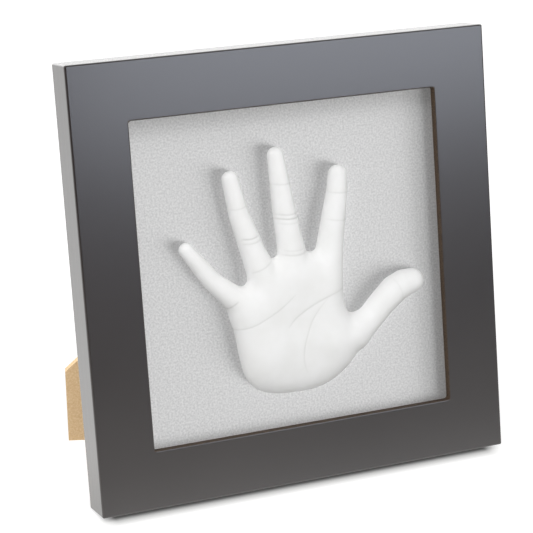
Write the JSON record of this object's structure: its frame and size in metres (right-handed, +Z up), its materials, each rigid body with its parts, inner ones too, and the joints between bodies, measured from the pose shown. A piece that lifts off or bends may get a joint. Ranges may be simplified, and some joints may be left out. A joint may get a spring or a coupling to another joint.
{
  "type": "picture frame",
  "caption": "Square table frame on a folding diagonal easel leg, with a raised white hand relief on a speckled grey panel behind its window.",
  "frame": {"origin": "on the floor, under the middle of the box round the standing frame with its leg open", "axes": "+Z up from the floor, -Y towards the viewer in front of the frame, +X to the viewer's right"},
  "size_m": [0.17, 0.0798, 0.1699],
  "materials": {
    "lacquered_mdf": "satin lacquer",
    "speckled_card": "matte speckled",
    "plaster": "smooth matte",
    "packing_card": "matte",
    "raw_mdf": "raw",
    "hinge_steel": "zinc plated",
    "rivet_steel": "zinc plated",
    "button_steel": "zinc plated",
    "screw_steel": "zinc plated"
  },
  "bodies": {
    "frame": {"frame_board": "lacquered_mdf", "print_panel": "speckled_card", "hand_relief": "plaster", "packing_board": "packing_card", "backing_board": "raw_mdf", "hinge_board_leaf": "hinge_steel", "hinge_pin": "hinge_steel", "board_leaf_rivets": "rivet_steel", "hanger_plate": "hinge_steel", "hanger_rivets": "rivet_steel", "button_screw_right": "screw_steel", "button_screw_top": "screw_steel", "button_screw_left": "screw_steel", "button_screw_bottom": "screw_steel"},
    "leg": {"easel_leg": "raw_mdf", "hinge_leg_leaf": "hinge_steel", "leg_leaf_rivets": "rivet_steel"},
    "button_right": {"turn_button_right": "button_steel"},
    "button_top": {"turn_button_top": "button_steel"},
    "button_left": {"turn_button_left": "button_steel"},
    "button_bottom": {"turn_button_bottom": "button_steel"}
  },
  "joints": [
    {"name": "leg_hinge", "type": "hinge", "parent": "frame", "child": "leg", "pos_m": [0.0173, -0.00432, 0.10023], "axis": [-0.7071, 0.1228, 0.6964], "range_deg": [0, 25]},
    {"name": "button_turn_right", "type": "hinge", "parent": "frame", "child": "button_right", "pos_m": [0.0755, -0.00954, 0.08358], "axis": [0, 0.9848, -0.1736], "range_deg": [-90, 90]},
    {"name": "button_turn_top", "type": "hinge", "parent": "frame", "child": "button_top", "pos_m": [0, 0.00357, 0.15793], "axis": [0, 0.9848, -0.1736], "range_deg": [-90, 90]},
    {"name": "button_turn_left", "type": "hinge", "parent": "frame", "child": "button_left", "pos_m": [-0.0755, -0.00954, 0.08358], "axis": [0, 0.9848, -0.1736], "range_deg": [-90, 90]},
    {"name": "button_turn_bottom", "type": "hinge", "parent": "frame", "child": "button_bottom", "pos_m": [0, -0.02265, 0.00923], "axis": [0, 0.9848, -0.1736], "range_deg": [-90, 90]}
  ]
}
